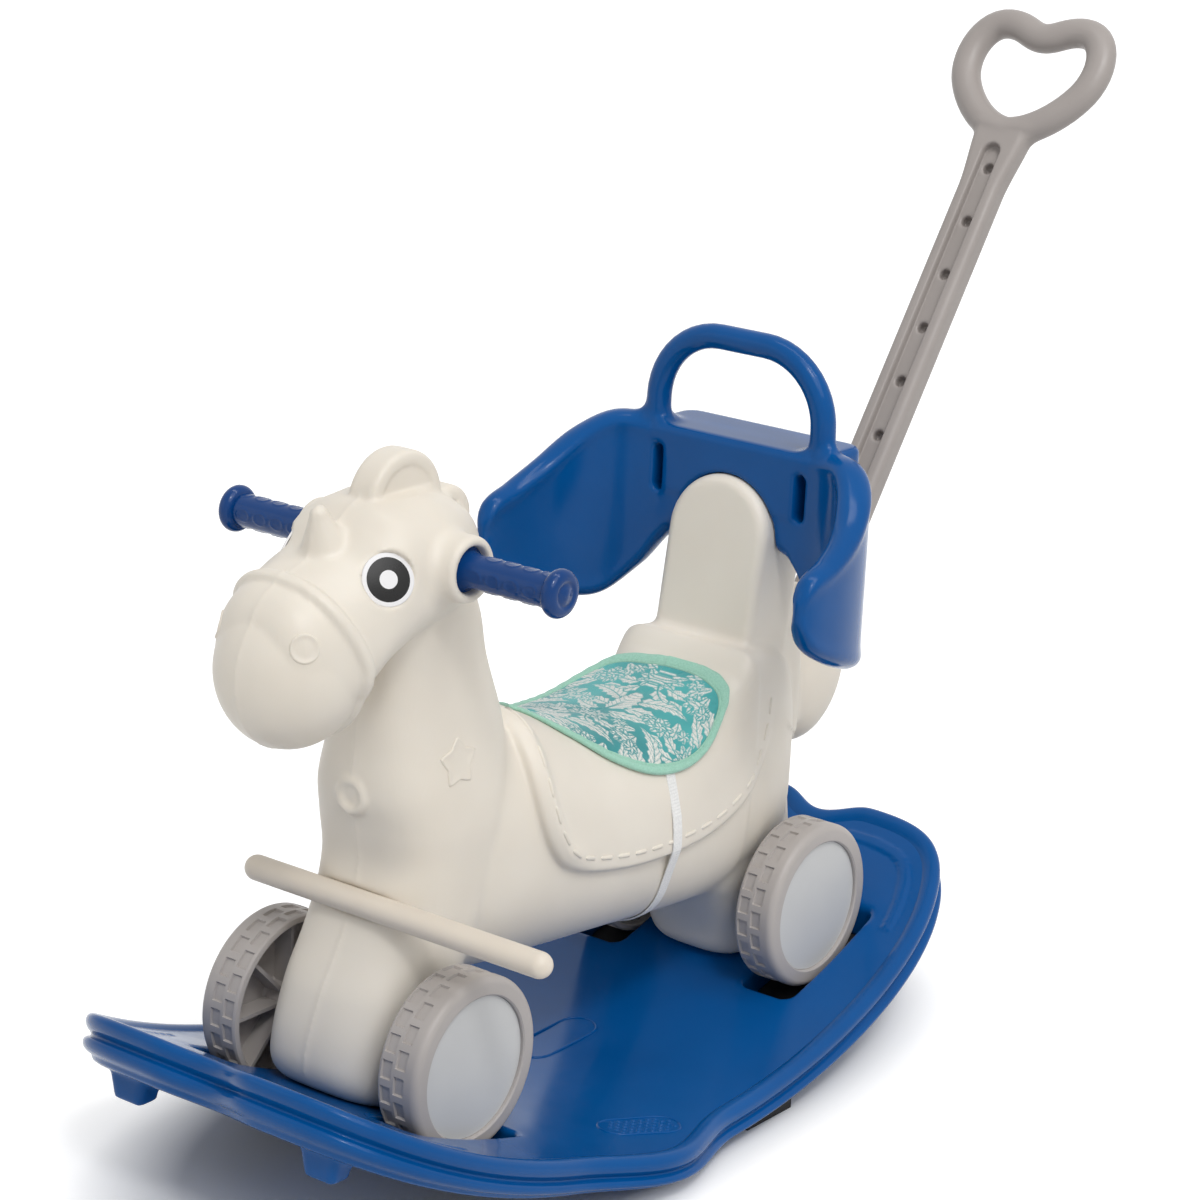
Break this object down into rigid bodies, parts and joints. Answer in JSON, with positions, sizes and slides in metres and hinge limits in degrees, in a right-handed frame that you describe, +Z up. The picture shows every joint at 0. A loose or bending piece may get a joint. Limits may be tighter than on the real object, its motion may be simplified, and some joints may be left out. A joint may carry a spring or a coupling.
{
  "type": "ride-on rocking horse",
  "caption": "Moulded toddler horse on wheels standing in a curved rocker board, with handlebar, foot rod, padded saddle, wrap-round backrest and heart-topped push handle.",
  "frame": {"origin": "on the floor under the middle of the wheelbase, on the centre plane", "axes": "+Z up, the horse faces -Y, its left side is +X"},
  "size_m": [0.4178, 1.0869, 0.8165],
  "materials": {
    "board_blue": "smooth blown plastic",
    "rubber_black": "matt rubber",
    "horse_cream": "satin blown plastic",
    "eye_black": "printed film",
    "steel": "plated",
    "grip_blue": "moulded plastic",
    "rod_cream": "satin plastic",
    "bush_black": "moulded plastic",
    "wheel_grey": "moulded plastic",
    "cap_grey": "smooth plastic",
    "handle_taupe": "satin plastic",
    "pad_fabric": "woven damask",
    "binding_fabric": "woven tape",
    "strap_elastic": "elastic tape"
  },
  "bodies": {
    "rocker_board": {"rocker_board": "board_blue", "grip_pads": "rubber_black"},
    "horse": {"horse_body": "horse_cream", "left_eye": "eye_black", "right_eye": "eye_black", "handlebar": "steel", "left_grip": "grip_blue", "right_grip": "grip_blue", "front_axle": "steel", "rear_axle": "steel", "axle_bushes": "bush_black", "axle_nuts": "steel", "backrest": "board_blue", "backrest_screws": "steel", "seat_pad": "pad_fabric", "pad_binding": "binding_fabric", "pad_strap": "strap_elastic"},
    "foot_rod": {"foot_rod": "rod_cream"},
    "push_handle": {"push_handle": "handle_taupe"},
    "front_left_wheel": {"front_left_wheel": "wheel_grey", "front_left_cap": "cap_grey"},
    "front_right_wheel": {"front_right_wheel": "wheel_grey", "front_right_cap": "cap_grey"},
    "rear_left_wheel": {"rear_left_wheel": "wheel_grey", "rear_left_cap": "cap_grey"},
    "rear_right_wheel": {"rear_right_wheel": "wheel_grey", "rear_right_cap": "cap_grey"}
  },
  "joints": [
    {"name": "horse_lift", "type": "slide", "parent": "rocker_board", "child": "horse", "axis": [0, 0, 1], "range_m": [0, 0.15]},
    {"name": "handle_pull", "type": "slide", "parent": "horse", "child": "push_handle", "axis": [0, 0.5678, 0.8231], "range_m": [0, 0.1]},
    {"name": "foot_rod_slide", "type": "slide", "parent": "horse", "child": "foot_rod", "axis": [1, 0, 0], "range_m": [-0.043, 0]},
    {"name": "front_left_spin", "type": "hinge", "parent": "horse", "child": "front_left_wheel", "pos_m": [0.089, -0.223, 0.12], "axis": [1, 0, 0], "continuous": true},
    {"name": "front_right_spin", "type": "hinge", "parent": "horse", "child": "front_right_wheel", "pos_m": [-0.089, -0.223, 0.12], "axis": [1, 0, 0], "continuous": true},
    {"name": "rear_left_spin", "type": "hinge", "parent": "horse", "child": "rear_left_wheel", "pos_m": [0.089, 0.223, 0.12], "axis": [1, 0, 0], "continuous": true},
    {"name": "rear_right_spin", "type": "hinge", "parent": "horse", "child": "rear_right_wheel", "pos_m": [-0.089, 0.223, 0.12], "axis": [1, 0, 0], "continuous": true}
  ]
}
